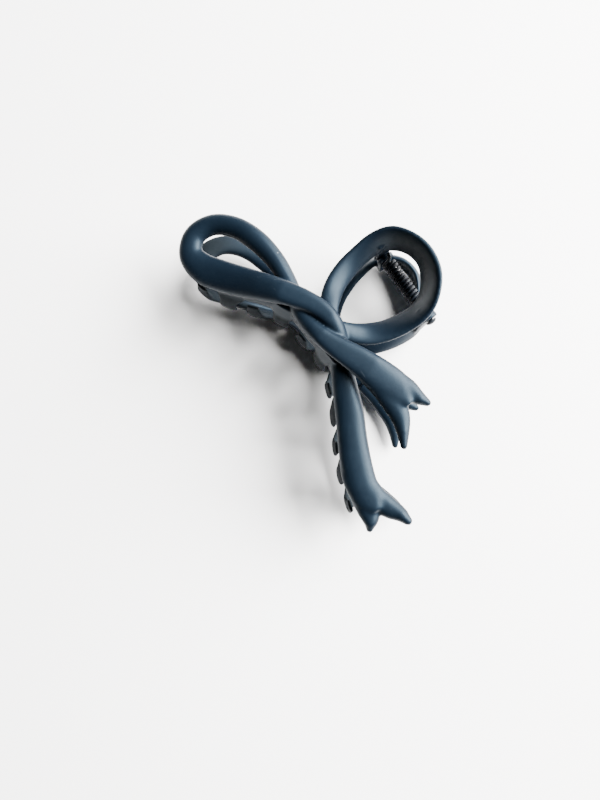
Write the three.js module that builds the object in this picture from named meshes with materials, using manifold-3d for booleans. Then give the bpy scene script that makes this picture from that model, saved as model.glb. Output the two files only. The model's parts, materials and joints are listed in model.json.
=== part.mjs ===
// Bow-shaped claw clip: two mirrored jaws on one hinge pin, held shut by a torsion spring.
// Millimetres, +Z up. X runs along the hinge pin, -Y is the mouth and +Y the finger levers.
// The clip lies on its lower jaw, and the plane between the jaws is level.
import * as THREE from "three";
import { mergeVertices } from "three/addons/utils/BufferGeometryUtils.js";
import Module from "manifold-3d";

const wasm = await Module();
wasm.setup();

// ---- driving dimensions ----
const CLIP_WIDTH = 132; // along the pin, tip of the left loop to tip of the left tail
const CLIP_DEPTH = 75.5; // mouth to levers
const HALF_HEIGHT = 20.8; // mid-plane to the flat lands on the outside of each jaw
const RIBBON_THICK = 4.6;
const RIBBON_CROWN = 0.8; // extra height of the ribbon's rounded outer face
const LAND_DEPTH = 0.3; // taken off the highest bands by the flat lands
const RING_THICK = 3.4;
const BAND_SIDES = 10;
const BOW_STEPS = 56;
const RING_STEPS = 32;
const PRONG_STEPS = 9;
const SKIRT_STEPS = 30;

const TOOTH_PITCH = 21.2; // along the mouth, between teeth of one jaw
const TOOTH_START = 9.0; // first tooth of the lower jaw, along the mouth from its left end
const TOOTH_WIDTH = 6.6;
const TOOTH_ROOT_WIDTH = 12.0;
const TOOTH_TIP_SHARE = 0.7; // tip width over tooth width
const TOOTH_THICK = 2.2;
const TOOTH_REACH = 7.0; // tip of a tooth past the mid-plane
const SKIRT_EDGE = 8.8; // height of the scallops between teeth above the mid-plane

const PIN_DIAMETER = 2.0;
const PIN_CLEARANCE = 0.3; // radial, pin to lug
const HEAD_DIAMETER = 4.2;
const HEAD_HEIGHT = 1.3;
const LUG_RADIUS = 3.2;
const LUG_THICK = 1.9;
const LUG_NECK = 3.4;
const LEFT_LUG_LEAN = -0.6; // how far the neck leans towards the levers where it meets the band
const RIGHT_LUG_LEAN = -3.4;
const RIGHT_LUG_RISE = 2.5; // into the steep wall above the right lugs
const FOOT_HEIGHT = 4.6;
const FOOT_DROP = 5.0; // bottom of the left foot below the strand's centre line
const LUG_GAP = 0.4; // between neighbouring lugs and between lug and pin head
const LUG_CLEAR = 0.7; // the other jaw's plastic stays this far outside a lug's round end

const WIRE_DIAMETER = 1.2;
const COIL_DIAMETER = 5.4; // outer
const COIL_PITCH = 1.5;
const COIL_TURNS = 14;
const COIL_END_GAP = 0.4;
const ARM_ANGLE = 65; // degrees from the mid-plane, closed
const ARM_LENGTH = 4.2;
const ARM_HOOK = 0.4; // straight end of each arm, turned out under the ring

// ---- worked out from them ----
const coilAngle = 2 * Math.PI * COIL_TURNS + THREE.MathUtils.degToRad(180 - 2 * ARM_ANGLE);
const coilLength = (coilAngle / (2 * Math.PI)) * COIL_PITCH;
const lugInner = coilLength / 2 + WIRE_DIAMETER / 2 + COIL_END_GAP; // |x| of the innermost lug face
const lugOuter = lugInner + LUG_THICK + LUG_GAP;
const lugEnd = lugOuter + LUG_THICK;

// The plan below is drawn for this width and depth, and is stretched to the ones set above.
const DRAWN_WIDTH = 132;
const DRAWN_DEPTH = 75.5;

// Ribbon centre lines, upper jaw: x, y, height above the mid-plane, width, bank.
// Bank is the roll of the band in degrees; positive lifts its left edge, seen along the path.
const BOW = [
  [36.0, -26.6, 16.1, 5.0, 0],
  [30.0, -27.2, 16.4, 12.0, 0],
  [22.5, -29.2, 17.4, 11.6, 0],
  [14.5, -32.0, 18.6, 9.6, 0],
  [5.5, -35.6, 18.7, 7.6, 4],
  [-2.0, -37.8, 17.4, 6.6, 8],
  [-9.0, -38.4, 15.4, 6.2, 10],
  [-16.5, -36.9, 14.2, 6.0, 8],
  [-24.0, -35.3, 13.4, 6.2, 0],
  [-32.5, -34.8, 13.4, 7.0, -6],
  [-42.0, -36.2, 13.4, 7.8, -10],
  [-51.0, -39.8, 12.4, 7.6, -10],
  [-57.0, -46.0, 11.0, 7.6, -6],
  [-57.8, -53.4, 10.0, 8.0, 0],
  [-53.0, -58.2, 9.6, 9.2, 6],
  [-46.2, -57.6, 9.8, 11.0, 10],
  [-39.8, -53.8, 10.8, 11.4, 10],
  [-32.8, -48.8, 12.8, 10.8, 8],
  [-25.4, -43.4, 15.8, 9.8, 4],
  [-17.8, -38.0, 18.5, 8.2, 0],
  [-11.0, -33.8, 18.8, 7.0, 0],
  [-4.4, -31.6, 18.2, 6.8, 4],
  [1.4, -31.6, 16.6, 6.2, 8],
  [6.4, -34.0, 14.6, 6.2, 8],
  [12.2, -37.2, 12.6, 7.6, 6],
  [19.6, -40.8, 11.8, 9.0, 4],
  [27.0, -44.2, 12.0, 10.0, 2],
  [35.0, -48.6, 12.2, 10.4, 0],
  [43.0, -52.6, 12.2, 11.0, 0],
  [51.5, -55.3, 12.2, 11.4, 0],
  [58.0, -56.0, 12.2, 6.0, 0],
];

// The right loop is a separate ring whose two ends tuck under the knot.
const RING = [
  [-1.5, -32.4, 14.8, 6.0, 0],
  [-7.0, -29.0, 13.8, 6.8, 4],
  [-12.4, -22.9, 11.5, 7.8, 23],
  [-15.3, -16.0, 10.5, 8.5, 36],
  [-16.6, -9.4, 10.4, 9.2, 51],
  [-16.9, -2.9, 10.9, 11.3, 64],
  [-14.9, 2.9, 11.8, 14.0, 74],
  [-10.1, 6.9, 12.3, 15.5, 82],
  [-2.9, 8.4, 13.1, 16.0, 82],
  [4.2, 6.3, 13.1, 16.2, 75],
  [9.3, 2.1, 12.4, 15.6, 70],
  [12.1, -3.4, 11.6, 13.8, 59],
  [12.2, -10.0, 10.8, 11.5, 46],
  [10.8, -17.2, 10.5, 9.9, 34],
  [8.3, -23.0, 11.1, 8.7, 20],
  [5.0, -27.4, 12.6, 7.2, 8],
  [0.5, -31.6, 14.8, 6.0, 0],
];

// Swallow-tail prongs: x, y, height, width, bank.
const PRONGS = [
  [
    [20.0, -32.2, 16.7, 6.6, 0],
    [27.0, -30.6, 16.8, 7.8, 0],
    [34.0, -30.4, 16.3, 8.0, 0],
    [38.8, -31.4, 16.3, 6.6, 0],
    [43.2, -33.6, 16.4, 4.4, 0],
    [47.0, -36.0, 16.8, 2.4, 0],
  ],
  [
    [20.0, -29.4, 16.7, 6.6, 0],
    [26.5, -26.2, 16.8, 7.8, 0],
    [32.2, -23.9, 16.2, 7.4, 0],
    [36.2, -22.6, 16.0, 5.4, 0],
    [39.6, -21.0, 16.0, 2.6, 0],
  ],
  [
    [40.0, -53.2, 11.2, 7.6, 0],
    [46.5, -55.8, 12.2, 8.6, 0],
    [53.8, -57.0, 12.0, 9.0, 0],
    [58.5, -58.3, 11.8, 7.8, 0],
    [61.4, -59.6, 11.6, 6.0, 0],
    [63.9, -61.6, 11.4, 2.4, 0],
  ],
  [
    [42.0, -50.6, 11.2, 7.4, 0],
    [47.5, -52.2, 12.2, 8.8, 0],
    [54.0, -53.7, 12.2, 8.4, 0],
    [58.5, -53.0, 12.2, 7.8, 0],
    [62.0, -51.9, 12.2, 6.4, 0],
    [65.5, -50.6, 12.4, 4.6, 0],
    [68.6, -49.7, 12.8, 3.0, 0],
  ],
];

// The teeth cross the mid-plane on the mouth line and grow out of the root line.
const MOUTH = [
  [-50.5, -64.6],
  [-39.0, -61.8],
  [-29.5, -56.0],
  [-20.5, -48.6],
  [-12.0, -44.2],
  [-2.5, -43.0],
  [7.0, -42.8],
  [16.0, -45.8],
  [25.5, -50.4],
  [35.0, -56.0],
  [45.5, -60.8],
  [56.5, -64.4],
];
const ROOT = [
  [-50.5, -61.4, 9.6],
  [-39.4, -58.0, 10.2],
  [-29.6, -51.0, 12.0],
  [-20.6, -43.8, 14.6],
  [-12.0, -39.8, 15.2],
  [-2.5, -39.2, 16.0],
  [7.0, -38.0, 15.6],
  [16.0, -41.4, 11.8],
  [25.5, -46.4, 11.4],
  [35.5, -51.8, 11.6],
  [46.5, -57.2, 11.6],
  [55.0, -60.4, 11.6],
];

// ---- helpers ----
const vec = (x, y, z) => new THREE.Vector3(x, y, z);

// A place in the drawn plan, stretched to the clip's width and depth.
const placed = (p) =>
  vec((p[0] * CLIP_WIDTH) / DRAWN_WIDTH, (p[1] * CLIP_DEPTH) / DRAWN_DEPTH, p[2] ?? 0);
const curveThrough = (points) => new THREE.CatmullRomCurve3(points.map(placed));

// Value number k of the stations at parameter t, joined by smooth steps.
function along(stations, k, t) {
  const place = Math.min(t, 1) * (stations.length - 1);
  const i = Math.min(Math.floor(place), stations.length - 2);
  const f = THREE.MathUtils.smoothstep(place - i, 0, 1);
  return THREE.MathUtils.lerp(stations[i][k], stations[i + 1][k], f);
}

// Closed body from rings of points, each ring joined to the next and both ends capped.
function loft(rings) {
  const sides = rings[0].length;
  const first = rings[0].reduce((sum, p) => sum.add(p), vec(0, 0, 0)).divideScalar(sides);
  const lastRing = rings[rings.length - 1];
  const last = lastRing.reduce((sum, p) => sum.add(p), vec(0, 0, 0)).divideScalar(sides);
  const points = [...rings.flat(), first, last];
  const index = [];
  for (let r = 0; r < rings.length - 1; r++) {
    for (let k = 0; k < sides; k++) {
      const a = r * sides + k;
      const b = r * sides + ((k + 1) % sides);
      index.push(a, b, b + sides, a, b + sides, a + sides);
    }
  }
  const start = rings.length * sides;
  const end = (rings.length - 1) * sides;
  for (let k = 0; k < sides; k++) {
    const next = (k + 1) % sides;
    index.push(start, next, k);
    index.push(start + 1, end + k, end + next);
  }
  const geometry = new THREE.BufferGeometry().setFromPoints(points);
  geometry.setIndex(index);
  return geometry;
}

// Rounded band section: half width a across, half thickness b up, in the plane of across and up.
// The upper face is higher by crown.
function section(centre, across, up, a, b, sides, crown = 0) {
  const ring = [];
  for (let k = 0; k < sides; k++) {
    const angle = ((k + 0.5) / sides) * 2 * Math.PI;
    const c = Math.cos(angle);
    const s = Math.sin(angle);
    const u = a * Math.sign(c) * Math.abs(c) ** 0.75;
    const v = (s > 0 ? b + crown : b) * Math.sign(s) * Math.abs(s) ** 0.75;
    ring.push(centre.clone().addScaledVector(across, u).addScaledVector(up, v));
  }
  return ring;
}

// A band carried along its stations, level except for its bank.
function band(stations, thick, crown, steps, roundTip = false) {
  const curve = curveThrough(stations);
  const rings = [];
  const ringAt = (t, grow, push) => {
    const tangent = curve.getTangent(t);
    const across = vec(0, 0, 1).cross(tangent).normalize();
    across.applyAxisAngle(tangent, THREE.MathUtils.degToRad(along(stations, 4, t)));
    const up = tangent.clone().cross(across);
    const centre = curve.getPoint(t).addScaledVector(tangent, push);
    const a = (along(stations, 3, t) / 2) * grow;
    const b = Math.min(thick / 2, along(stations, 3, t) / 2) * grow;
    const room = THREE.MathUtils.clamp(HALF_HEIGHT + LAND_DEPTH - centre.z - thick / 2, 0, crown);
    rings.push(section(centre, across, up, a, b, BAND_SIDES, room * grow));
  };
  for (let i = 0; i <= steps; i++) ringAt(i / steps, 1, 0);
  if (roundTip) {
    const radius = along(stations, 3, 1) / 2;
    for (const angle of [35, 65, 82]) {
      const turn = THREE.MathUtils.degToRad(angle);
      ringAt(1, Math.cos(turn), radius * Math.sin(turn));
    }
  }
  return loft(rings);
}

function solid(geometry) {
  const bare = geometry.clone();
  for (const name of Object.keys(bare.attributes)) {
    if (name !== "position") bare.deleteAttribute(name);
  }
  const merged = mergeVertices(bare, 1e-4);
  return new wasm.Manifold(
    new wasm.Mesh({
      numProp: 3,
      vertProperties: new Float32Array(merged.attributes.position.array),
      triVerts: new Uint32Array(merged.index.array),
    })
  );
}

function geometryOf(manifold) {
  const mesh = manifold.getMesh();
  const geometry = new THREE.BufferGeometry();
  geometry.setAttribute("position", new THREE.BufferAttribute(mesh.vertProperties, 3));
  geometry.setIndex(new THREE.BufferAttribute(mesh.triVerts, 1));
  return geometry;
}

const union = (solids) => solids.reduce((sum, next) => sum.add(next));

// ---- the comb of teeth ----
// Each tooth leaves its root, bulges to the mouth line at the mid-plane and curls back a little.
function tooth(distance, mouth, root) {
  const t = distance / mouth.getLength();
  const m = mouth.getPointAt(t);
  const r = root.getPointAt(t);
  const run = mouth.getTangentAt(t);
  const out = run.clone().cross(vec(0, 0, 1));
  const path = [
    r.clone(),
    vec((r.x + m.x) / 2, (r.y + m.y) / 2, r.z * 0.55).addScaledVector(out, 0.9),
    m.clone(),
    m.clone().addScaledVector(out, -0.9).setZ(-TOOTH_REACH),
  ];
  const curve = new THREE.CatmullRomCurve3(path);
  const rings = [];
  const steps = 7;
  for (let i = 0; i <= steps; i++) {
    const f = i / steps;
    const tangent = curve.getTangent(f);
    const up = tangent.clone().cross(run).normalize();
    const across = up.clone().cross(tangent);
    const toMid = THREE.MathUtils.smoothstep(f, 0, 0.42);
    const toTip = THREE.MathUtils.smoothstep(f, 0.55, 1);
    const body = THREE.MathUtils.lerp(TOOTH_ROOT_WIDTH, TOOTH_WIDTH, toMid);
    const width = body * THREE.MathUtils.lerp(1, TOOTH_TIP_SHARE, toTip);
    const thick = TOOTH_THICK * (1 - 0.4 * toTip);
    rings.push(section(curve.getPoint(f), across, up, width / 2, thick / 2, 8));
  }
  return loft(rings);
}

// The wall that joins the roots of the teeth, hanging from the ribbon's outer edge.
function skirt(mouth, root) {
  const rings = [];
  for (let i = 0; i <= SKIRT_STEPS; i++) {
    const t = i / SKIRT_STEPS;
    const m = mouth.getPointAt(t);
    const r = root.getPointAt(t);
    const down = m.clone().sub(r).normalize();
    const out = mouth.getTangentAt(t).cross(down).normalize();
    const half = (r.z - SKIRT_EDGE) / -down.z / 2;
    const centre = r.clone().addScaledVector(down, half);
    rings.push(section(centre, down, out, half, TOOTH_THICK / 2, 8));
  }
  return loft(rings);
}

// ---- hinge ----
// A lug is a plate round the pin that rises into the jaw's band. Its top is at height top and
// leans this far towards the levers.
function lug(x, top, lean) {
  const shape = new THREE.Shape();
  shape.absarc(0, 0, LUG_RADIUS, Math.PI, 2 * Math.PI, false);
  shape.lineTo(lean + LUG_NECK / 2, top);
  shape.lineTo(lean - LUG_NECK / 2, top);
  const plate = new THREE.ExtrudeGeometry(shape, {
    depth: LUG_THICK,
    bevelEnabled: false,
    curveSegments: 10,
  });
  // the shape's x runs along Y and its y along Z
  const turn = new THREE.Matrix4().makeBasis(vec(0, 1, 0), vec(0, 0, 1), vec(1, 0, 0));
  plate.applyMatrix4(turn);
  plate.translate(x, 0, 0);
  return plate;
}

// Bar along X that ties a lug to the ring's strand beside it. It starts this far towards the
// levers and this high, never lower than the clearance round the other jaw's lug ends.
function lugFoot(lugX, strandX, y, low, height) {
  const width = Math.abs(strandX - lugX);
  const bar = new THREE.BoxGeometry(width, LUG_NECK, height);
  const bottom = Math.max(low, LUG_RADIUS + LUG_CLEAR);
  bar.translate((lugX + strandX) / 2, y, bottom + height / 2);
  return bar;
}

// The ring's centre line where it passes y, on the left (first) or right (last) strand.
function strandAt(ring, y, last) {
  const points = ring.getPoints(200);
  if (last) points.reverse();
  return points.find((p) => p.y > y);
}

// Upper-jaw shape. leftLug and rightLug are the lugs' lower x, toothAt the first tooth's distance.
function jaw(toothAt, leftLug, rightLug) {
  const mouth = curveThrough(MOUTH);
  const root = curveThrough(ROOT);
  const left = strandAt(curveThrough(RING), LEFT_LUG_LEAN, false);
  const right = strandAt(curveThrough(RING), RIGHT_LUG_LEAN, true);
  const pieces = [
    band(BOW, RIBBON_THICK, RIBBON_CROWN, BOW_STEPS),
    band(RING, RING_THICK, 0, RING_STEPS),
    skirt(mouth, root),
    lug(leftLug, left.z, LEFT_LUG_LEAN),
    lug(rightLug, right.z + RIGHT_LUG_RISE, RIGHT_LUG_LEAN),
    lugFoot(leftLug + LUG_THICK, left.x, LEFT_LUG_LEAN, left.z - FOOT_DROP, FOOT_HEIGHT),
    lugFoot(rightLug, right.x, RIGHT_LUG_LEAN, right.z - 1, FOOT_HEIGHT / 2),
  ];
  for (const prong of PRONGS) {
    pieces.push(band(prong, RIBBON_THICK, RIBBON_CROWN, PRONG_STEPS, true));
  }
  const lastTooth = mouth.getLength() - TOOTH_WIDTH / 4;
  for (let distance = toothAt; distance < lastTooth; distance += TOOTH_PITCH) {
    pieces.push(tooth(distance, mouth, root));
  }
  const bore = new THREE.CylinderGeometry(
    PIN_DIAMETER / 2 + PIN_CLEARANCE,
    PIN_DIAMETER / 2 + PIN_CLEARANCE,
    4 * lugEnd,
    16
  ).rotateZ(Math.PI / 2);
  const keep = new THREE.BoxGeometry(400, 400, 2 * HALF_HEIGHT);
  return union(pieces.map(solid)).subtract(solid(bore)).intersect(solid(keep));
}

function mirroredDown(geometry) {
  const flipped = geometry.clone().scale(1, 1, -1);
  const index = flipped.index.array;
  for (let i = 0; i < index.length; i += 3) {
    [index[i + 1], index[i + 2]] = [index[i + 2], index[i + 1]];
  }
  return flipped;
}

// Pin turned round its own axis, domed head at the right end, chamfered at the left.
function hingePin() {
  const r = PIN_DIAMETER / 2;
  const left = -lugEnd - LUG_GAP - 0.6;
  const head = lugEnd + LUG_GAP;
  const profile = [
    new THREE.Vector2(0, left),
    new THREE.Vector2(r - 0.3, left),
    new THREE.Vector2(r, left + 0.3),
    new THREE.Vector2(r, head),
    new THREE.Vector2(HEAD_DIAMETER / 2, head),
  ];
  for (let i = 1; i <= 4; i++) {
    const turn = (i / 4) * (Math.PI / 2);
    const across = i === 4 ? 0 : (HEAD_DIAMETER / 2) * Math.cos(turn);
    profile.push(new THREE.Vector2(across, head + HEAD_HEIGHT * Math.sin(turn)));
  }
  return new THREE.LatheGeometry(profile, 16).rotateZ(-Math.PI / 2);
}

// One wire: hooked arm for the upper jaw, the coil round the pin, hooked arm for the lower jaw.
function torsionSpring() {
  const mean = (COIL_DIAMETER - WIRE_DIAMETER) / 2;
  const start = THREE.MathUtils.degToRad(90 + ARM_ANGLE);
  const points = [];
  const turnsSteps = COIL_TURNS * 12;
  for (let i = 0; i <= turnsSteps; i++) {
    const angle = start + (coilAngle * i) / turnsSteps;
    const x = -coilLength / 2 + (coilLength * i) / turnsSteps;
    points.push(vec(x, mean * Math.cos(angle), mean * Math.sin(angle)));
  }
  const arm = (coilEnd, side) => {
    const rise = THREE.MathUtils.degToRad(ARM_ANGLE);
    const way = vec(0, Math.cos(rise), -side * Math.sin(rise));
    const bend = coilEnd.clone().addScaledVector(way, ARM_LENGTH);
    const corner = bend.clone().addScaledVector(way, 0.9).add(vec(0.4 * side, 0, 0));
    const run = bend.clone().addScaledVector(way, 1.3).add(vec(1.4 * side, 0, 0));
    return [bend, corner, run, run.clone().add(vec(ARM_HOOK * side, 0, 0))];
  };
  const left = arm(points[0], -1).reverse();
  const right = arm(points[points.length - 1], 1);
  const path = new THREE.CatmullRomCurve3([...left, ...points, ...right]);
  const wire = new THREE.Shape();
  wire.absarc(0, 0, WIRE_DIAMETER / 2, 0, 2 * Math.PI, false);
  return new THREE.ExtrudeGeometry(wire, {
    steps: turnsSteps + 24,
    extrudePath: path,
    bevelEnabled: false,
    curveSegments: 3,
  });
}

// ---- materials and assembly ----
const coated = (color) => new THREE.MeshStandardMaterial({ color, roughness: 0.62, metalness: 0 });
const steel = new THREE.MeshStandardMaterial({ color: 0x3a3d42, roughness: 0.35, metalness: 1 });

const clip = new THREE.Group();

function add(name, geometry, material) {
  const mesh = new THREE.Mesh(geometry, material);
  mesh.name = name;
  clip.add(mesh);
}

const upper = jaw(TOOTH_START + TOOTH_PITCH / 2, -lugEnd, lugInner);
const lower = jaw(TOOTH_START, -lugInner - LUG_THICK, lugOuter);
add("upper_jaw", geometryOf(upper), coated(0x1c2738));
add("lower_jaw", mirroredDown(geometryOf(lower)), coated(0x1c2738));
add("hinge_pin", hingePin(), steel);
add("torsion_spring", torsionSpring(), coated(0x15181e));

// Stand the clip on its lower lands, centred over the origin.
const box = new THREE.Box3().setFromObject(clip);
const centre = box.getCenter(vec(0, 0, 0));
clip.position.set(-centre.x, -centre.y, HALF_HEIGHT);

export default clip;
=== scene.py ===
import json

import bpy
import numpy as np
from mathutils import Matrix, Vector


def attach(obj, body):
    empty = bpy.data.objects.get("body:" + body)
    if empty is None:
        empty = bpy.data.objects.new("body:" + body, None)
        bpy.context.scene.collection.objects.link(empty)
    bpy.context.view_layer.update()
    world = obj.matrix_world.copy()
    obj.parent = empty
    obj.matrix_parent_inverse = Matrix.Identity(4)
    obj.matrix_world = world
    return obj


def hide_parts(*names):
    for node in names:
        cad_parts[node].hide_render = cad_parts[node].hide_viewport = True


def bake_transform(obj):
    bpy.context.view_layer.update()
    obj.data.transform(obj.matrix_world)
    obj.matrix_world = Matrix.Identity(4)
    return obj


bl_info = {
    "name": "Bow Claw Clip",
    "version": (1, 0, 0),
    "blender": (4, 5, 0),
    "location": "View3D > Sidebar > Claw Clip",
    "description": "Builds a bow-shaped claw clip with moulded jaws, a hinge pin and a torsion spring",
    "category": "Add Mesh",
}

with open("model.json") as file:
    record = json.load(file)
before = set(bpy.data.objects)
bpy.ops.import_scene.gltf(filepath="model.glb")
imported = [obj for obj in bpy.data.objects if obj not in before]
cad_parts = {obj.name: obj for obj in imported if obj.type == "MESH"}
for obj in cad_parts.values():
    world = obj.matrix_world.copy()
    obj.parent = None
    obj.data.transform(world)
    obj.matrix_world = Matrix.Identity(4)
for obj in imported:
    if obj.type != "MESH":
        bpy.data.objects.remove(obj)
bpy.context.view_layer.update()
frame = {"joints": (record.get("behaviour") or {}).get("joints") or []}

MM = 0.001
HINGE = np.array(frame["joints"][0]["pos_m"])
HALF_HEIGHT = HINGE[2] / MM
LOWER = "lower_half"
UPPER = "upper_half"

# Sizes in millimetres that every clip of this kind shares, so the settings leave them alone.
BOW_CROWN = 0.8  # extra height along the middle of the bow
PRONG_CROWN = 0.3  # the same on the prongs
LAND_DEPTH = 0.3  # how far a crown may pass the outer plane before it is eased under it
LAND_EASE = 0.8  # how gently it is eased
LUG_RADIUS = 3.2
LUG_NECK = 3.4
LEFT_LUG_Y = -0.6  # where the left lug's neck meets the ring
RIGHT_LUG_Y = -3.4
RIGHT_LUG_RISE = 2.5  # how far the right neck goes up into the ring
BAR_WIDTH = 3.4
LEFT_BAR_DEEP = 5.0  # the left bar's underside below the ring's centre line
LEFT_BAR_CLEAR = 3.9  # and its least height above the pin, which clears the coil
LEFT_BAR_SINK = 0.4
RIGHT_BAR_BELOW = 1.0
RIGHT_BAR_ABOVE = 1.3
CLOSE_SWELL = -0.57  # the push back after each smoothing pull, on the whole skin
TAIL_SWELL = -0.553  # a smaller one, on the tails
SMOOTHING_PULL = 0.55
SKIN_PASSES = 18
TAIL_PASSES = 120
TAIL_START = 20.0  # x where the tails' smoothing starts
TAIL_RAMP = 8.0  # and how far on it is whole
TAIL_FLOOR = 6.5  # height under which the teeth keep their edges
TAIL_FLOOR_RAMP = 2.5
PIN_TAIL = 1.0  # how far the pin's plain end shows
PIN_END = np.array([(0.0, -0.35), (0.05, -0.28), (0.3, -0.03), (0.36, 0.0)])  # along, past the radius
HEAD_RADIUS = 2.1
HEAD_HEIGHT = 1.2
COIL_END_GAP = 0.4  # between the coil and the innermost lugs
ARM_ANGLE = 65  # degrees from the mid-plane, closed
ARM_LENGTH = 4.2
HOOK_RISE = 1.3
HOOK_OUT = 1.4
HOOK_END = 0.4

SHADE_TOP = 11.0  # the painted shade starts at this height from the mid-plane
SHADE_FULL = 8.5
SHADE_BACK = -24.0  # and at this y from the hinge
SHADE_FRONT = -31.0

# The window's level direction and distance, and the camera that is held over the mouth.
WINDOW = Vector((0.27, 0.96, 0.0))
WINDOW_HEIGHT = 0.68
WINDOW_SIZE = (1.25, 1.1)
WINDOW_POWER = 310
ROOM_LIGHT = 0.04
TABLE_REACH = 3.0
CAMERA_RIGHT = Vector((0.56897, 0.81940, -0.06968))
CAMERA_UP = Vector((-0.81693, 0.57290, 0.06636))
CAMERA_PLAN = (33.5, -51.9)  # millimetres from the hinge
CAMERA_HEIGHT = 0.242  # metres above the table
CAMERA_LENS = 27
CAMERA_SENSOR = 36

# Centre lines of the upper jaw's bands, in millimetres from the middle of the hinge.
# Each row is x, y, height above the mid-plane, width, bank in degrees.
BOW = np.array([
    (36.6, -26.4, 15.9, 4.6, 0),
    (33.6, -26.8, 16.1, 10.4, 0),
    (29.4, -27.4, 16.5, 12.4, 0),
    (22.5, -29.2, 17.4, 11.6, 0),
    (14.5, -32.0, 18.6, 9.6, 0),
    (5.5, -35.6, 18.7, 7.6, 4),
    (-2.0, -37.8, 17.4, 6.6, 8),
    (-9.0, -38.4, 15.4, 6.2, 10),
    (-16.5, -36.9, 14.2, 6.0, 8),
    (-24.0, -35.3, 13.4, 6.2, 0),
    (-32.5, -34.8, 13.4, 7.0, -6),
    (-42.0, -36.2, 13.4, 7.8, -10),
    (-51.0, -39.8, 12.4, 7.6, -10),
    (-57.0, -46.0, 11.0, 7.6, -6),
    (-57.8, -53.4, 10.0, 8.0, 0),
    (-53.0, -58.2, 9.6, 9.2, 6),
    (-46.2, -57.6, 9.8, 11.0, 10),
    (-39.8, -53.8, 10.8, 11.4, 10),
    (-32.8, -48.8, 12.8, 10.8, 8),
    (-25.4, -43.4, 15.8, 9.8, 4),
    (-17.8, -38.0, 18.5, 8.2, 0),
    (-11.0, -33.8, 18.8, 7.0, 0),
    (-4.4, -31.6, 18.2, 6.8, 4),
    (1.4, -31.6, 16.6, 6.2, 8),
    (6.4, -34.0, 14.6, 6.2, 8),
    (12.2, -37.2, 12.6, 7.6, 6),
    (19.6, -40.8, 11.8, 9.0, 4),
    (27.0, -44.2, 12.0, 10.0, 2),
    (35.0, -48.6, 12.2, 10.4, 0),
    (43.0, -52.6, 12.2, 11.0, 0),
    (51.0, -55.4, 12.2, 11.0, 0),
    (56.2, -55.6, 12.2, 11.2, 0),
    (59.8, -55.7, 12.0, 6.4, 0),
])

RING = np.array([
    (-1.5, -32.4, 14.8, 6.0, 0),
    (-7.0, -29.0, 13.8, 6.8, 4),
    (-12.4, -22.9, 11.5, 7.8, 23),
    (-15.3, -16.0, 10.5, 8.5, 36),
    (-16.6, -9.4, 10.4, 9.2, 51),
    (-16.9, -2.9, 10.9, 11.3, 64),
    (-14.9, 2.9, 11.8, 14.0, 74),
    (-10.1, 6.9, 12.3, 15.5, 82),
    (-2.9, 8.4, 13.1, 16.0, 82),
    (4.2, 6.3, 13.1, 16.2, 75),
    (9.3, 2.1, 12.4, 15.6, 70),
    (12.1, -3.4, 11.6, 13.8, 59),
    (12.2, -10.0, 10.8, 11.5, 46),
    (10.8, -17.2, 10.5, 9.9, 34),
    (8.3, -23.0, 11.1, 8.7, 20),
    (5.0, -27.4, 12.6, 7.2, 8),
    (0.5, -31.6, 14.8, 6.0, 0),
])

PRONGS = [
    np.array([
        (20.0, -32.2, 16.7, 6.6, 0),
        (27.0, -30.6, 16.8, 7.8, 0),
        (34.0, -30.4, 16.3, 8.0, 0),
        (38.8, -31.4, 16.3, 6.6, 0),
        (43.2, -33.6, 16.4, 4.4, 0),
        (47.0, -36.0, 16.8, 2.4, 0),
    ]),
    np.array([
        (20.0, -29.4, 16.7, 6.6, 0),
        (26.5, -26.2, 16.8, 7.8, 0),
        (32.2, -23.9, 16.2, 7.4, 0),
        (36.2, -22.6, 16.0, 5.4, 0),
        (39.6, -21.0, 16.0, 2.6, 0),
    ]),
    np.array([
        (40.0, -53.2, 11.2, 7.6, 0),
        (46.5, -55.8, 12.2, 8.6, 0),
        (53.8, -57.0, 12.0, 9.0, 0),
        (58.5, -58.3, 11.8, 7.8, 0),
        (61.4, -59.6, 11.6, 6.0, 0),
        (63.9, -61.6, 11.4, 2.4, 0),
    ]),
    np.array([
        (42.0, -50.6, 11.2, 7.4, 0),
        (47.5, -53.2, 12.2, 8.0, 0),
        (54.0, -54.2, 12.2, 7.8, 0),
        (58.5, -53.1, 12.0, 7.8, 0),
        (62.0, -51.8, 12.0, 7.2, 0),
        (65.5, -50.1, 12.2, 5.4, 0),
        (68.6, -49.3, 12.8, 3.2, 0),
    ]),
]

# The teeth cross the mid-plane on the mouth line and grow out of the root line.
MOUTH = np.array([
    (-50.5, -64.6, 0),
    (-39.0, -61.8, 0),
    (-29.5, -56.0, 0),
    (-20.5, -48.6, 0),
    (-12.0, -44.2, 0),
    (-2.5, -43.0, 0),
    (7.0, -42.8, 0),
    (16.0, -45.8, 0),
    (25.5, -50.4, 0),
    (35.0, -56.0, 0),
    (45.5, -60.8, 0),
    (56.5, -64.4, 0),
])
ROOT = np.array([
    (-50.5, -61.4, 9.6),
    (-39.4, -58.0, 10.2),
    (-29.6, -51.0, 12.0),
    (-20.6, -43.8, 14.6),
    (-12.0, -39.8, 15.2),
    (-2.5, -39.2, 16.0),
    (7.0, -38.0, 15.6),
    (16.0, -41.4, 11.8),
    (25.5, -46.4, 11.4),
    (35.5, -51.8, 11.6),
    (46.5, -57.2, 11.6),
    (55.0, -60.4, 11.6),
])


# ---- surfaces as whole arrays ----

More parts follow.
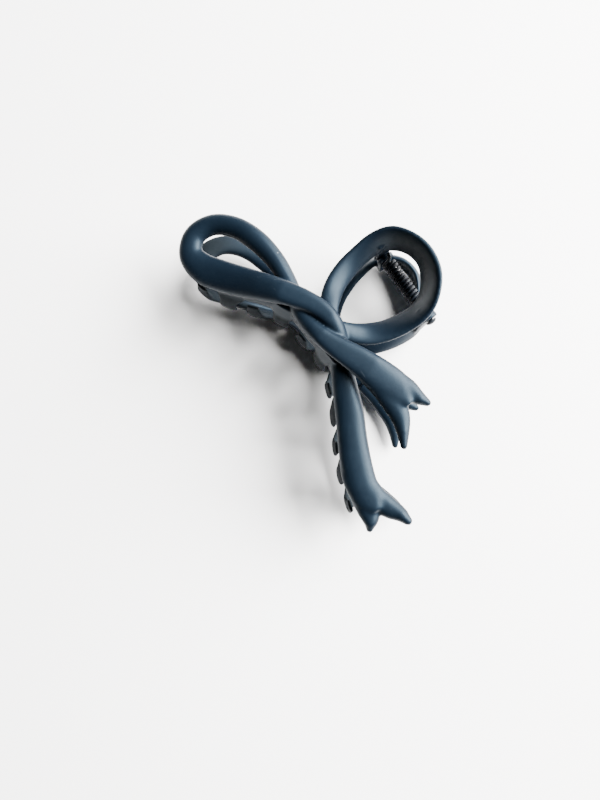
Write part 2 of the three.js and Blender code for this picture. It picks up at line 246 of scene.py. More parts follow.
def catmull(points, count):
    """Centripetal Catmull-Rom curve through the points, any number of columns.

    The knots are spaced by the square root of the chord, each span is a cubic Hermite curve, and
    the end points are reflected to give the end tangents."""
    p = np.asarray(points, float)
    p = np.vstack([2 * p[0] - p[1], p, 2 * p[-1] - p[-2]])
    gap = np.linalg.norm(np.diff(p[:, :3], axis=0), axis=1)[:, None] ** 0.5
    t = np.linspace(0, len(points) - 1, count)
    i = np.minimum(t.astype(int), len(points) - 2)
    f = (t - i)[:, None]
    p0, p1, p2, p3 = p[i], p[i + 1], p[i + 2], p[i + 3]
    d0, d1, d2 = gap[i], gap[i + 1], gap[i + 2]
    m1 = ((p1 - p0) / d0 - (p2 - p0) / (d0 + d1) + (p2 - p1) / d1) * d1
    m2 = ((p2 - p1) / d1 - (p3 - p1) / (d1 + d2) + (p3 - p2) / d2) * d1
    a = 2 * p1 - 2 * p2 + m1 + m2
    b = -3 * p1 + 3 * p2 - 2 * m1 - m2
    return ((a * f + b) * f + m1) * f + p1


def even(points, count):
    """The same curve with its points spread evenly along its length."""
    run = np.r_[0, np.cumsum(np.linalg.norm(np.diff(points[:, :3], axis=0), axis=1))]
    want = np.linspace(0, run[-1], count)
    return np.stack([np.interp(want, run, points[:, k]) for k in range(points.shape[1])], 1)


def fair(points, passes):
    """Evens out changes of bend: each pass replaces a point by the mean of itself and neighbours."""
    out = points.copy()
    for _ in range(passes):
        out[1:-1] = 0.25 * out[:-2] + 0.5 * out[1:-1] + 0.25 * out[2:]
    return out


def unit(v):
    """Vectors of length one along the given ones."""
    return v / np.linalg.norm(v, axis=-1, keepdims=True)


def tangents(points):
    """The direction of a line at each of its points."""
    return unit(np.gradient(points[:, :3], axis=0))


def tube(rings):
    """Closed mesh from a grid of ring points (count, sides, 3): its vertices, its quads, and the
    triangles that fan over each end."""
    count, sides, _ = rings.shape
    verts = np.vstack([rings.reshape(-1, 3), rings[0].mean(0), rings[-1].mean(0)])
    i, j = np.meshgrid(np.arange(count - 1), np.arange(sides), indexing="ij")
    a = i * sides + j
    b = i * sides + (j + 1) % sides
    quads = np.stack([a, b, b + sides, a + sides], -1).reshape(-1, 4)
    k = np.arange(sides)
    n = (k + 1) % sides
    first = np.stack([np.full(sides, count * sides), n, k], 1)
    end = (count - 1) * sides
    last = np.stack([np.full(sides, count * sides + 1), end + k, end + n], 1)
    return verts, quads, np.vstack([first, last])


def superellipse(centre, across, up, a, b, power, sides, crown=0.0):
    """Rings a|cos|^p across and b|sin|^p up round each centre; p = 1 is an ellipse, less is boxier.

    The upper half is higher: b + crown there in place of b."""
    angle = (np.arange(sides) + 0.5) / sides * 2 * np.pi
    c, s = np.cos(angle), np.sin(angle)
    power = power[:, None]
    u = a[:, None] * np.sign(c) * np.abs(c) ** power
    tall = b[:, None] + np.where(s > 0, 1, 0) * np.reshape(crown, (-1, 1))
    v = tall * np.sign(s) * np.abs(s) ** power
    return centre[:, None] + u[..., None] * across[:, None] + v[..., None] * up[:, None]


def band(stations, thick, crown=0.0, count=220, round_tip=False):
    """A banked band swept along its stations: superellipse sections square to the centre line.

    Narrow stretches are rounder, wide ones flatter. A round tip adds rings that shrink as a
    quarter circle beyond the end."""
    line = fair(even(catmull(stations, 900), count), 4)
    t = tangents(line)
    centre, width, bank = line[:, :3], line[:, 3], np.radians(line[:, 4])
    flat = unit(np.cross([0, 0, 1.0], t))
    rise = np.cross(t, flat)
    across = flat * np.cos(bank)[:, None] + rise * np.sin(bank)[:, None]
    up = np.cross(t, across)
    a = width / 2
    b = np.minimum(thick / 2, a)
    grow = np.ones(count)
    if round_tip:
        turn = np.radians([20, 40, 55, 68, 78, 86])
        centre = np.vstack([centre, centre[-1] + t[-1] * (a[-1] * np.sin(turn))[:, None]])
        across = np.vstack([across, np.repeat(across[-1:], len(turn), 0)])
        up = np.vstack([up, np.repeat(up[-1:], len(turn), 0)])
        a = np.r_[a, a[-1] * np.cos(turn)]
        b = np.r_[b, b[-1] * np.cos(turn)]
        grow = np.r_[grow, np.cos(turn)]
    room = np.clip(HALF_HEIGHT + LAND_DEPTH - centre[:, 2] - thick / 2, 0, crown) * grow
    power = np.interp(a * 2, (6.0, 11.0), (0.98, 0.86))
    return tube(superellipse(centre, across, up, a, b, power, 36, room))


def tooth(mouth, root, out, run, size):
    """One tooth: a rounded blade from its root, bulging to the mouth line, its tip curled back in.

    The width falls from the root to the mid-plane and again to the tip by smooth steps."""
    path = np.array([
        root,
        ((root[0] + mouth[0]) / 2, (root[1] + mouth[1]) / 2, root[2] * 0.55),
        mouth,
        (mouth[0] - 0.9 * out[0], mouth[1] - 0.9 * out[1], -size.tooth_reach / MM),
    ])
    path[1, :2] += 0.9 * out[:2]
    line = catmull(path, 40)
    f = np.linspace(0, 1, 40)
    step = lambda x: np.clip(x, 0, 1) ** 2 * (3 - 2 * np.clip(x, 0, 1))
    to_mid, to_tip = step(f / 0.42), step((f - 0.55) / 0.45)
    root_width = size.tooth_root_width / MM
    width = root_width + (size.tooth_width / MM - root_width) * to_mid
    width *= 1 + (size.tooth_tip_share - 1) * to_tip
    thick = size.tooth_thick / MM * (1 - 0.4 * to_tip)
    t = tangents(line)
    up = unit(np.cross(t, run))
    across = np.cross(up, t)
    return tube(superellipse(line, across, up, width / 2, thick / 2, np.full(40, 0.8), 20))


def comb(first, size):
    """The teeth at an even pitch along the mouth line, and the skirt that joins their roots.

    The skirt is a band hung between the root line and the height of the scallops."""
    mouth = even(catmull(MOUTH, 600), 400)
    root = even(catmull(ROOT, 600), 400)
    length = np.linalg.norm(np.diff(mouth, axis=0), axis=1).sum()
    run = tangents(mouth)
    out = np.cross(run, [0, 0, 1.0])
    parts = []
    pitch = size.tooth_pitch / MM
    for distance in np.arange(first, length - size.tooth_width / MM / 4, pitch):
        k = int(round(distance / length * 399))
        parts.append(tooth(mouth[k], root[k], out[k], run[k], size))
    down = unit(mouth - root)
    half = (root[:, 2] - size.skirt_edge / MM) / -down[:, 2] / 2
    centre = root + down * half[:, None]
    face = unit(np.cross(run, down))
    thick = np.full(400, size.tooth_thick / MM / 2)
    parts.append(tube(superellipse(centre, down, face, half, thick, np.full(400, 0.8), 20)))
    return parts


def lug(x, thick, top, lean):
    """A plate round the pin, a half circle below and a neck that leans into the band above."""
    turn = np.linspace(np.pi, 2 * np.pi, 24)
    outline = np.vstack([
        np.stack([LUG_RADIUS * np.cos(turn), LUG_RADIUS * np.sin(turn)], 1),
        [(lean + LUG_NECK / 2, top), (lean - LUG_NECK / 2, top)],
    ])
    rings = np.zeros((2, len(outline), 3))
    rings[:, :, 0] = [[x], [x + thick]]
    rings[:, :, 1:] = outline
    return tube(rings)


def bar(x0, x1, y, low, high):
    """A rounded bar along X between two heights, a superellipse in section."""
    x = np.linspace(min(x0, x1), max(x0, x1), 12)
    centre = np.stack([x, np.full(12, y), np.full(12, (low + high) / 2)], 1)
    across = np.tile([0, 1.0, 0], (12, 1))
    up = np.tile([0, 0, 1.0], (12, 1))
    a, b = np.full(12, BAR_WIDTH / 2), np.full(12, (high - low) / 2)
    return tube(superellipse(centre, across, up, a, b, np.full(12, 0.7), 16))


def joined(parts):
    """Several tubes as one mesh, each one's faces counted on from the vertices before it."""
    counts = [len(verts) for verts, _, _ in parts]
    bases = np.cumsum([0, *counts[:-1]])
    verts = np.vstack([part[0] for part in parts])
    quads = np.vstack([part[1] + base for part, base in zip(parts, bases)])
    fans = np.vstack([part[2] + base for part, base in zip(parts, bases)])
    return verts, quads, fans


# ---- meshes into Blender ----

def mesh_object(name, verts, quads, fans=None):
    """A new object in the scene from whole arrays of vertices, quads and triangles."""
    mesh = bpy.data.meshes.new(name)
    triangles = [] if fans is None else fans.tolist()
    mesh.from_pydata(np.asarray(verts).tolist(), [], np.asarray(quads).tolist() + triangles)
    mesh.update()
    obj = bpy.data.objects.new(name, mesh)
    bpy.context.collection.objects.link(obj)
    return obj


def evaluated(obj):
    """A plain mesh with the object's modifiers applied."""
    graph = bpy.context.evaluated_depsgraph_get()
    return bpy.data.meshes.new_from_object(obj.evaluated_get(graph))


def coords(mesh):
    """The places of a mesh's vertices as one array."""
    flat = np.empty(len(mesh.vertices) * 3)
    mesh.vertices.foreach_get("co", flat)
    return flat.reshape(-1, 3)


def relaxed(mesh, passes, swell, share=1.0):
    """Vertex places after smoothing that keeps volume: each pass moves every vertex towards the
    mean of its neighbours, then a little further back. The share scales the moves at each vertex."""
    at = coords(mesh)
    pairs = np.empty(len(mesh.edges) * 2, int)
    mesh.edges.foreach_get("vertices", pairs)
    a, b = pairs.reshape(-1, 2).T
    n = len(at)
    degree = (np.bincount(a, minlength=n) + np.bincount(b, minlength=n))[:, None]
    share = np.reshape(share, (-1, 1))
    for _ in range(passes):
        for pull in (SMOOTHING_PULL, swell):
            total = np.stack([
                np.bincount(a, at[b, k], n) + np.bincount(b, at[a, k], n) for k in range(3)
            ], 1)
            at = at + pull * share * (total / degree - at)
    return at


def fused(name, parts, voxel):
    """One skin round all the parts: a voxel remesh joins them and smoothing turns the joins to
    fillets. The tails are smoothed for longer, so that the prongs run into one surface."""
    obj = mesh_object(name, *joined(parts))
    mod = obj.modifiers.new("fuse", "REMESH")
    mod.mode = "VOXEL"
    mod.voxel_size = voxel
    mesh = evaluated(obj)
    obj.modifiers.clear()
    old = obj.data
    obj.data = mesh
    bpy.data.meshes.remove(old)
    mesh.vertices.foreach_set("co", relaxed(mesh, SKIN_PASSES, CLOSE_SWELL).ravel())
    at = coords(mesh)
    along = np.clip((at[:, 0] - TAIL_START) / TAIL_RAMP, 0, 1)
    above = np.clip((at[:, 2] - TAIL_FLOOR) / TAIL_FLOOR_RAMP, 0, 1)
    mesh.vertices.foreach_set("co", relaxed(mesh, TAIL_PASSES, TAIL_SWELL, along * above).ravel())
    mesh.update()
    return obj


def bored(obj, radius, reach):
    """Cuts a round hole along X through the lugs."""
    turn = np.arange(64) / 64 * 2 * np.pi
    rings = np.zeros((2, 64, 3))
    rings[:, :, 0] = [[-reach], [reach]]
    rings[:, :, 1] = radius * np.cos(turn)
    rings[:, :, 2] = radius * np.sin(turn)
    cutter = mesh_object("bore_cutter", *tube(rings))
    mod = obj.modifiers.new("bore", "BOOLEAN")
    mod.operation = "DIFFERENCE"
    mod.solver = "EXACT"
    mod.object = cutter
    mesh = evaluated(obj)
    obj.modifiers.clear()
    obj.data = mesh
    bpy.data.objects.remove(cutter)


def placed(obj, material, flip=False):
    """Moves millimetres from the hinge to metres in the frame, and mirrors down for the lower jaw."""
    mesh = obj.data
    at = coords(mesh) * MM
    if flip:
        at[:, 2] *= -1
        mesh.flip_normals()
    mesh.vertices.foreach_set("co", (at + HINGE).ravel())
    mesh.materials.clear()
    mesh.materials.append(material)
    mesh.shade_smooth()
    mesh.update()


# ---- materials ----

def node(tree, kind, at, **values):
    """A new shader node at a place in the editor, with its sockets or settings filled in."""
    new = tree.nodes.new(kind)
    new.location = at
    for key, value in values.items():
        if key in new.inputs:
            new.inputs[key].default_value = value
        else:
            setattr(new, key, value)
    return new


def noise(tree, where, at, scale, detail):
    """A noise texture's value on the given coordinates."""
    texture = node(tree, "ShaderNodeTexNoise", at, Scale=scale, Detail=detail)
    tree.links.new(where, texture.inputs["Vector"])
    return texture.outputs["Fac"]


def ranged(tree, value, at, low, high, start=0.0, end=1.0):
    """The value carried from the range low..high to start..end, and held at the ends."""
    new = node(tree, "ShaderNodeMapRange", at)
    for key, number in (("From Min", low), ("From Max", high), ("To Min", start), ("To Max", end)):
        new.inputs[key].default_value = number
    tree.links.new(value, new.inputs["Value"])
    return new.outputs["Result"]


def worked(tree, operation, a, b, at):
    """Two values added, multiplied or subtracted; the second may be a plain number."""
    new = node(tree, "ShaderNodeMath", at, operation=operation)
    tree.links.new(a, new.inputs[0])
    if isinstance(b, bpy.types.NodeSocket):
        tree.links.new(b, new.inputs[1])
    else:
        new.inputs[1].default_value = b
    return new.outputs[0]


def mixed(tree, amount, a, b, at):
    """A colour socket or plain colour a, turning into the plain colour b by the amount."""
    new = node(tree, "ShaderNodeMix", at, data_type="RGBA")
    new.inputs["B"].default_value = (*b, 1)
    if isinstance(a, bpy.types.NodeSocket):
        tree.links.new(a, new.inputs["A"])
    else:
        new.inputs["A"].default_value = (*a, 1)
    tree.links.new(amount, new.inputs["Factor"])
    return new.outputs["Result"]


def bumped(tree, shader, height, strength, distance):
    """Fine relief on a shader, from a height value."""
    bump = node(tree, "ShaderNodeBump", (0, -300), Strength=strength, Distance=distance)
    tree.links.new(height, bump.inputs["Height"])
    tree.links.new(bump.outputs["Normal"], shader.inputs["Normal"])


def new_material(name):
    """An empty material with one plain shader, its node tree and that shader."""
    material = bpy.data.materials.new(name)
    material.use_nodes = True
    tree = material.node_tree
    tree.nodes.clear()
    shader = node(tree, "ShaderNodeBsdfPrincipled", (300, 0))
    output = node(tree, "ShaderNodeOutputMaterial", (600, 0))
    tree.links.new(shader.outputs[0], output.inputs["Surface"])
    return material, tree, shader


def dust_amount(tree, where):
    """Sparse round specks: the middles of small cells, kept where a broad noise is high."""
    cells = node(tree, "ShaderNodeTexVoronoi", (-1200, 150), Scale=210.0, Randomness=1.0)
    tree.links.new(where, cells.inputs["Vector"])
    dots = ranged(tree, cells.outputs["Distance"], (-900, 150), 0.055, 0.03)
    some = ranged(tree, noise(tree, where, (-1200, -50), 110.0, 1.0), (-900, -50), 0.6, 0.66)
    return worked(tree, "MULTIPLY", dots, some, (-700, 100))


def scratch_amount(tree, where, cloud):
    """Thin scratches: the peaks of a fine noise stretched one way, kept to a few patches."""
    stretch = node(tree, "ShaderNodeMapping", (-1350, -300))
    stretch.inputs["Rotation"].default_value = (0.0, 0.0, 0.42)
    stretch.inputs["Scale"].default_value = (0.12, 1.0, 1.0)
    tree.links.new(where, stretch.inputs["Vector"])
    lines = noise(tree, stretch.outputs["Vector"], (-1150, -300), 1500.0, 1.0)
    thin = ranged(tree, lines, (-900, -300), 0.7, 0.76)
    patch = ranged(tree, noise(tree, where, (-1200, -550), 55.0, 1.0), (-900, -550), 0.58, 0.66)
    scratch = worked(tree, "MULTIPLY", thin, patch, (-700, -350))
    faint = ranged(tree, cloud, (-900, -700), 0.0, 1.0, 0.2, 0.7)
    return worked(tree, "MULTIPLY", scratch, faint, (-500, -400))


def painted_shade_amount(tree, where):
    """1 where shade is painted: on the teeth and inner faces near the mid-plane, on the mouth's side of
    the hinge.
    """
    parted = node(tree, "ShaderNodeSeparateXYZ", (-1200, 650))
    tree.links.new(where, parted.inputs[0])
    above = worked(tree, "SUBTRACT", parted.outputs["Z"], HINGE[2], (-1000, 650))
    away = node(tree, "ShaderNodeMath", (-850, 650), operation="ABSOLUTE")
    tree.links.new(above, away.inputs[0])
    near = ranged(tree, away.outputs[0], (-700, 650), SHADE_TOP * MM, SHADE_FULL * MM)
    y = parted.outputs["Y"]
    mouth_side = ranged(tree, y, (-700, 850), HINGE[1] + SHADE_BACK * MM, HINGE[1] + SHADE_FRONT * MM)
    return worked(tree, "MULTIPLY", near, mouth_side, (-500, 700))


def soft_touch_material(colours):
    """Soft-touch coated plastic: navy and matte, with a fine pebble, faint clouds of handling,
    sparse pale specks of dust and thin pale scratches. Shade is painted on the teeth and inner
    faces near the mid-plane: there the colour turns a dark grey and the surface rougher."""
    material, tree, shader = new_material("soft_touch_navy")
    where = node(tree, "ShaderNodeTexCoord", (-1500, 0)).outputs["Object"]
    cloud = noise(tree, where, (-1200, 400), 70.0, 4.0)
    worn = ranged(tree, cloud, (-900, 400), 0.45, 0.8)
    colour = mixed(tree, worn, colours.coating, colours.coating_worn, (-500, 300))
    colour = mixed(tree, dust_amount(tree, where), colour, colours.dust, (-300, 300))
    colour = mixed(tree, scratch_amount(tree, where, cloud), colour, colours.scratch, (-100, 300))
    # Painted shade: near the mid-plane on the mouth's side the colour turns a dark grey and the roughness
    # rises.
    painted_shade = painted_shade_amount(tree, where)
    colour = mixed(tree, painted_shade, colour, colours.painted_shade, (0, 500))
    tree.links.new(colour, shader.inputs["Base Color"])

    grain = noise(tree, where, (-1200, -800), 900.0, 2.0)
    rough = ranged(tree, grain, (-300, -50), 0.0, 1.0, 0.40, 0.52)
    duller = ranged(tree, painted_shade, (-300, 150), 0.0, 1.0, 0.0, 0.36)
    tree.links.new(worked(tree, "ADD", rough, duller, (-100, -50)), shader.inputs["Roughness"])
    bumped(tree, shader, noise(tree, where, (-1200, -1000), 5200.0, 3.0), 0.25, 0.00006)
    shader.inputs["Specular IOR Level"].default_value = 0.15
    shader.inputs["Specular Tint"].default_value = (0.6, 0.82, 1.0, 1)
    return material


def coated_metal_material(name, colour, roughness):
    """Dark coated steel with fine drawing marks and a slightly uneven gloss."""
    material, tree, shader = new_material(name)
    where = node(tree, "ShaderNodeTexCoord", (-900, 0)).outputs["Object"]
    grain = noise(tree, where, (-600, 0), 3000.0, 3.0)
    rough = ranged(tree, grain, (-200, 0), 0.0, 1.0, roughness - 0.08, roughness + 0.1)
    tree.links.new(rough, shader.inputs["Roughness"])
    bumped(tree, shader, grain, 0.2, 0.00003)
    high = ranged(tree, grain, (-400, 300), 0.5, 0.8)
    tint = mixed(tree, high, colour, [3.0 * part for part in colour], (-200, 300))
    tree.links.new(tint, shader.inputs["Base Color"])
    shader.inputs["Specular IOR Level"].default_value = 0.08
    return material


# ---- the clip's settings ----

class CLIP_PG_sizes(bpy.types.PropertyGroup):
    """Sizes of the clip's parts"""
    ribbon_thick: bpy.props.FloatProperty(
        name="Ribbon thickness", description="Thickness of the bow's ribbon",
        default=4.6 * MM, unit="LENGTH")
    ring_thick: bpy.props.FloatProperty(
        name="Ring thickness", description="Thickness of the lever ring's band",
        default=3.4 * MM, unit="LENGTH")
    tooth_pitch: bpy.props.FloatProperty(
        name="Tooth pitch", description="Distance between teeth of one jaw along the mouth",
        default=21.2 * MM, unit="LENGTH")
    tooth_start: bpy.props.FloatProperty(
        name="First tooth", description="First lower tooth from the left end of the mouth",
        default=9.0 * MM, unit="LENGTH")
    tooth_width: bpy.props.FloatProperty(
        name="Tooth width", description="Width of a tooth at the mid-plane",
        default=6.6 * MM, unit="LENGTH")
    tooth_root_width: bpy.props.FloatProperty(
        name="Tooth root width", description="Width of a tooth where it leaves the skirt",
        default=12.0 * MM, unit="LENGTH")
    tooth_tip_share: bpy.props.FloatProperty(
        name="Tooth tip share", description="Width of a tooth's tip over its width at the mid-plane",
        default=0.7, subtype="FACTOR")
    tooth_thick: bpy.props.FloatProperty(
        name="Tooth thickness", description="Thickness of a tooth and of the skirt",
        default=2.2 * MM, unit="LENGTH")
    tooth_reach: bpy.props.FloatProperty(
        name="Tooth reach", description="How far a tooth's tip passes the mid-plane",
        default=7.0 * MM, unit="LENGTH")
    skirt_edge: bpy.props.FloatProperty(
        name="Skirt edge", description="Height of the scallops above the mid-plane",
        default=8.8 * MM, unit="LENGTH")
    lug_thick: bpy.props.FloatProperty(
        name="Lug thickness", description="Thickness of a hinge lug",
        default=1.9 * MM, unit="LENGTH")
    lug_gap: bpy.props.FloatProperty(
        name="Lug gap", description="Gap between neighbouring lugs",
        default=0.4 * MM, unit="LENGTH")
    pin_diameter: bpy.props.FloatProperty(
        name="Pin diameter", description="Diameter of the hinge pin",
        default=2.0 * MM, unit="LENGTH")
    bore_clearance: bpy.props.FloatProperty(
        name="Bore clearance", description="Radial gap between the pin and a lug",
        default=0.3 * MM, unit="LENGTH")
    wire_diameter: bpy.props.FloatProperty(
        name="Wire diameter", description="Diameter of the spring wire",
        default=1.2 * MM, unit="LENGTH")
    coil_diameter: bpy.props.FloatProperty(
        name="Coil diameter", description="Outer diameter of the spring coil",
        default=5.4 * MM, unit="LENGTH")
    coil_pitch: bpy.props.FloatProperty(
        name="Coil pitch", description="Distance between turns of the spring",
        default=1.5 * MM, unit="LENGTH")
    coil_turns: bpy.props.IntProperty(
        name="Coil turns", description="Whole turns of the spring coil", default=14)
    voxel: bpy.props.FloatProperty(
        name="Skin step", description="Grid step that the moulded skin is fused at",
        default=0.41 * MM, unit="LENGTH")


class CLIP_PG_colours(bpy.types.PropertyGroup):
    """Colours of the clip and its table"""
    coating: bpy.props.FloatVectorProperty(
        name="Coating", description="Soft-touch coating of the jaws",
        default=(0.0013, 0.0031, 0.0060), subtype="COLOR")
    coating_worn: bpy.props.FloatVectorProperty(
        name="Rubbed coating", description="Coating where hands have rubbed it",
        default=(0.0024, 0.0050, 0.0088), subtype="COLOR")
    # Painted shade: the dark grey given to the teeth and inner faces near the mid-plane.
    painted_shade: bpy.props.FloatVectorProperty(
        name="Painted shade colour", description="Painted shade on the teeth and inner faces near the mid-plane",
        default=(0.0022, 0.0028, 0.0034), subtype="COLOR")
    dust: bpy.props.FloatVectorProperty(
        name="Dust", description="Specks of dust on the coating",
        default=(0.07, 0.075, 0.08), subtype="COLOR")
    scratch: bpy.props.FloatVectorProperty(
        name="Scratch", description="Fine pale scratches in the coating",
        default=(0.022, 0.027, 0.033), subtype="COLOR")
    spring: bpy.props.FloatVectorProperty(
        name="Spring", description="Coated spring wire",
        default=(0.0016, 0.0026, 0.0042), subtype="COLOR")
    pin: bpy.props.FloatVectorProperty(
        name="Pin", description="Coated hinge pin",
        default=(0.0030, 0.0042, 0.0060), subtype="COLOR")
    floor: bpy.props.FloatVectorProperty(
        name="Floor", description="Table that the clip lies on",
        default=(0.86, 0.85, 0.84), subtype="COLOR")


def hinge_layout(size):
    """Coil length and the |x| of the lugs' faces, worked out from the coil outwards."""
    turns = size.coil_turns + (180 - 2 * ARM_ANGLE) / 360
    coil = turns * size.coil_pitch / MM
    inner = coil / 2 + size.wire_diameter / MM / 2 + COIL_END_GAP
    outer = inner + (size.lug_thick + size.lug_gap) / MM
    end = outer + size.lug_thick / MM
    return turns, coil, inner, outer, end


def jaw(name, size, colours, first_tooth, left_lug, right_lug, flip):
    """All the bands, teeth and lugs of one jaw fused into a single moulded skin."""
    thick = size.lug_thick / MM
    ring = catmull(RING, 400)
    left = ring[np.argmax(ring[:, 1] > LEFT_LUG_Y)]
    right = ring[::-1][np.argmax(ring[::-1, 1] > RIGHT_LUG_Y)]
    left_low = max(left[2] - LEFT_BAR_DEEP, LEFT_BAR_CLEAR)
    right_low, right_high = right[2] - RIGHT_BAR_BELOW, right[2] + RIGHT_BAR_ABOVE
    parts = [
        band(BOW, size.ribbon_thick / MM, BOW_CROWN, 420),
        band(RING, size.ring_thick / MM),
        lug(left_lug, thick, left[2], LEFT_LUG_Y),
        lug(right_lug, thick, right[2] + RIGHT_LUG_RISE, RIGHT_LUG_Y),
        bar(left_lug + thick, left[0], LEFT_LUG_Y, left_low, left[2] - LEFT_BAR_SINK),
        bar(right_lug, right[0], RIGHT_LUG_Y, right_low, right_high),
    ]
    parts += [band(prong, size.ribbon_thick / MM, PRONG_CROWN, 90, True) for prong in PRONGS]
    parts += comb(first_tooth, size)
    obj = fused(name, parts, size.voxel / MM)
    # the lands: heights near the outer plane are eased under it
    at = coords(obj.data)
    depth = HALF_HEIGHT - at[:, 2]
    at[:, 2] = HALF_HEIGHT - 0.5 * (depth + np.hypot(depth, LAND_EASE))
    obj.data.vertices.foreach_set("co", at.ravel())
    bored(obj, (size.pin_diameter / 2 + size.bore_clearance) / MM, 60)
    placed(obj, soft_touch_material(colours), flip)
    return obj


class CLIP_OT_upper_jaw(bpy.types.Operator):
    """Adds the upper jaw, with its teeth half a pitch along from the lower jaw's"""
    bl_idname = "clip.upper_jaw"
    bl_label = "Upper Jaw"

    def execute(self, context):
        size, colours = context.scene.clip_sizes, context.scene.clip_colours
        _, _, inner, _, end = hinge_layout(size)
        first = (size.tooth_start + size.tooth_pitch / 2) / MM
        obj = jaw("upper_jaw_skin", size, colours, first, -end, inner, False)
        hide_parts("upper_jaw")
        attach(obj, UPPER)
        return {"FINISHED"}


class CLIP_OT_lower_jaw(bpy.types.Operator):
    """Adds the lower jaw, mirrored down, with its lugs beside the upper jaw's"""
    bl_idname = "clip.lower_jaw"
    bl_label = "Lower Jaw"

    def execute(self, context):
        size, colours = context.scene.clip_sizes, context.scene.clip_colours
        _, _, inner, outer, _ = hinge_layout(size)
        left = -inner - size.lug_thick / MM
        obj = jaw("lower_jaw_skin", size, colours, size.tooth_start / MM, left, outer, True)
        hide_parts("lower_jaw")
        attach(obj, LOWER)
        return {"FINISHED"}


class CLIP_OT_hinge_pin(bpy.types.Operator):
    """Adds the hinge pin: a turned rod with a domed head and a chamfered end"""
    bl_idname = "clip.hinge_pin"
    bl_label = "Hinge Pin"

    def execute(self, context):
        size, colours = context.scene.clip_sizes, context.scene.clip_colours
        _, _, _, _, end = hinge_layout(size)
        r = size.pin_diameter / MM / 2
        left, head = -end - PIN_TAIL, end + size.lug_gap / MM
        dome = np.linspace(0, np.pi / 2, 14)[:-1]
        profile = np.vstack([
            PIN_END + (left, r),
            [(head - 0.02, r), (head, r + 0.05)],
            [(head, HEAD_RADIUS - 0.14), (head + 0.04, HEAD_RADIUS - 0.04)],
            np.stack([head + 0.1 + HEAD_HEIGHT * np.sin(dome), HEAD_RADIUS * np.cos(dome)], 1),
        ])
        turn = np.arange(64) / 64 * 2 * np.pi
        rings = np.stack([
            np.repeat(profile[:, :1], 64, 1),
            profile[:, 1:] * np.cos(turn),
            profile[:, 1:] * np.sin(turn),
        ], -1)
        obj = mesh_object("hinge_pin_turned", *tube(rings))
        placed(obj, coated_metal_material("coated_pin", colours.pin, 0.38))
        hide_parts("hinge_pin")
        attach(obj, LOWER)
        return {"FINISHED"}


class CLIP_OT_torsion_spring(bpy.types.Operator):
    """Adds the torsion spring: a close coil round the pin with a hooked arm at each end"""
    bl_idname = "clip.torsion_spring"
    bl_label = "Torsion Spring"

    def execute(self, context):
        size, colours = context.scene.clip_sizes, context.scene.clip_colours
        turns, coil, _, _, _ = hinge_layout(size)
        mean = (size.coil_diameter - size.wire_diameter) / MM / 2
        rise = np.radians(ARM_ANGLE)
        angle = np.radians(90 + ARM_ANGLE) + 2 * np.pi * np.linspace(0, turns, int(turns * 32))
        x = np.linspace(-coil / 2, coil / 2, len(angle))
        helix = np.stack([x, mean * np.cos(angle), mean * np.sin(angle)], 1)

        def arm(start, side):
            """Points up an arm, round the bend at its top and out along the hook."""
            way = np.array([0, np.cos(rise), -side * np.sin(rise)])
            outward = np.array([side, 0, 0])
            bend = start + ARM_LENGTH * way
            hook = bend + HOOK_RISE * way + HOOK_OUT * outward
            corner = bend + 0.9 * way + 0.4 * outward
            return np.array([start + ARM_LENGTH / 2 * way, bend, corner, hook, hook + HOOK_END * outward])

        left = catmull(np.vstack([arm(helix[0], -1)[::-1], helix[:1]]), 60)[:-1]
        right = catmull(np.vstack([helix[-1:], arm(helix[-1], 1)]), 60)[1:]
        line = np.vstack([left, helix, right])
        t = tangents(line)
        # a reference that is never along the wire: away from the pin on the coil, along X on arms
        away = line * [0, 1, 1]
        side = unit(np.cross(t, away + [1e-6, 0, 0]))
        up = np.cross(side, t)
        radius = np.full(len(line), size.wire_diameter / MM / 2)
        rings = superellipse(line, side, up, radius, radius, np.ones(len(line)), 14)
        obj = mesh_object("torsion_spring_wire", *tube(rings))
        placed(obj, coated_metal_material("coated_wire", colours.spring, 0.5))
        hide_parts("torsion_spring")
        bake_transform(obj)
        return {"FINISHED"}


def table_top(colour):
    """A wide plain table under the clip."""
    r = TABLE_REACH
    floor = mesh_object("table_top", [(-r, -r, 0), (r, -r, 0), (r, r, 0), (-r, r, 0)], [[0, 1, 2, 3]])
    material, _, shader = new_material("pale_table")
    shader.inputs["Base Color"].default_value = (*colour, 1)
    shader.inputs["Roughness"].default_value = 0.7
    floor.data.materials.append(material)


def window_light(context):
    """One broad window to the side of the clip, and a faint even light from the room."""
    data = bpy.data.lights.new("window", "AREA")
    data.shape = "RECTANGLE"
    data.size, data.size_y = WINDOW_SIZE
    data.energy = WINDOW_POWER
    lamp = bpy.data.objects.new("window", data)
    context.collection.objects.link(lamp)
    lamp.location = WINDOW + Vector((0, 0, WINDOW_HEIGHT))
    lamp.rotation_euler = (-lamp.location).to_track_quat("-Z", "Y").to_euler()

    world = bpy.data.worlds.new("soft_room")
    world.use_nodes = True
    background = world.node_tree.nodes["Background"]
    background.inputs["Color"].default_value = (1, 1, 1, 1)
    background.inputs["Strength"].default_value = ROOM_LIGHT
    context.scene.world = world


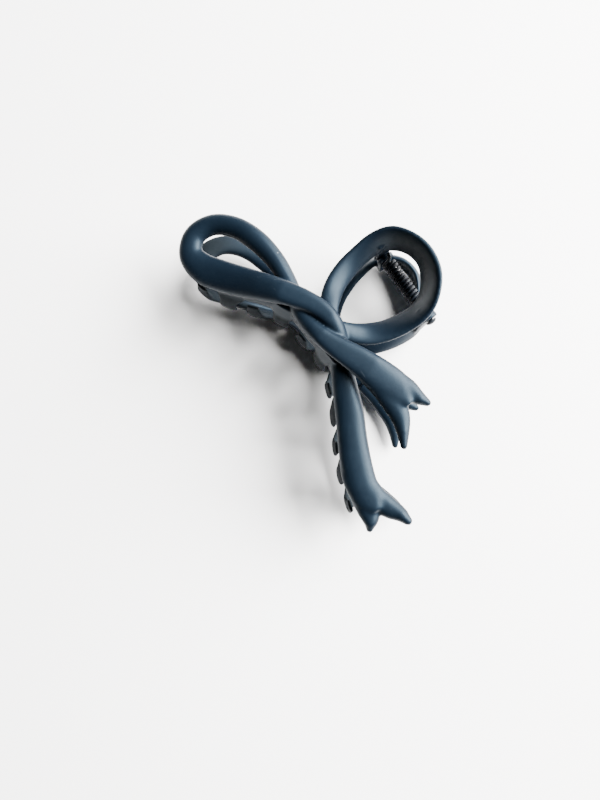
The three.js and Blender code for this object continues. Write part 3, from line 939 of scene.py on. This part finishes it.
def slanted_camera(context):
    """A camera held over the mouth and turned so that the clip lies on a slant."""
    data = bpy.data.cameras.new("camera")
    data.lens = CAMERA_LENS
    data.sensor_width = CAMERA_SENSOR
    data.clip_start = 0.01
    data.dof.use_dof = False
    camera = bpy.data.objects.new("camera", data)
    context.collection.objects.link(camera)
    right, up = CAMERA_RIGHT.normalized(), CAMERA_UP.normalized()
    turn = Matrix((right, up, right.cross(up))).transposed().to_4x4()
    x, y = (HINGE[k] + CAMERA_PLAN[k] * MM for k in (0, 1))
    camera.matrix_world = Matrix.Translation((x, y, CAMERA_HEIGHT)) @ turn
    context.scene.camera = camera


class CLIP_OT_stage(bpy.types.Operator):
    """Adds the table, the window light and the camera"""
    bl_idname = "clip.stage"
    bl_label = "Stage"

    def execute(self, context):
        table_top(context.scene.clip_colours.floor)
        window_light(context)
        slanted_camera(context)
        return {"FINISHED"}


class CLIP_PT_panel(bpy.types.Panel):
    """Sizes, colours and build steps of the claw clip"""
    bl_label = "Claw Clip"
    bl_idname = "CLIP_PT_panel"
    bl_space_type = "VIEW_3D"
    bl_region_type = "UI"
    bl_category = "Claw Clip"

    def draw(self, context):
        for group in (context.scene.clip_sizes, context.scene.clip_colours):
            box = self.layout.box()
            for name in group.__annotations__:
                box.prop(group, name)
        for step in STEPS:
            self.layout.operator(step.bl_idname)


STEPS = (
    CLIP_OT_stage, CLIP_OT_upper_jaw, CLIP_OT_lower_jaw, CLIP_OT_hinge_pin, CLIP_OT_torsion_spring,
)
CLASSES = (CLIP_PG_sizes, CLIP_PG_colours, *STEPS, CLIP_PT_panel)


def register():
    for cls in CLASSES:
        bpy.utils.register_class(cls)
    bpy.types.Scene.clip_sizes = bpy.props.PointerProperty(type=CLIP_PG_sizes)
    bpy.types.Scene.clip_colours = bpy.props.PointerProperty(type=CLIP_PG_colours)


def unregister():
    del bpy.types.Scene.clip_sizes
    del bpy.types.Scene.clip_colours
    for cls in reversed(CLASSES):
        bpy.utils.unregister_class(cls)


def main():
    register()
    bpy.ops.clip.stage()
    bpy.ops.clip.upper_jaw()
    bpy.ops.clip.lower_jaw()
    bpy.ops.clip.hinge_pin()
    bpy.ops.clip.torsion_spring()


if __name__ == "__main__":
    main()
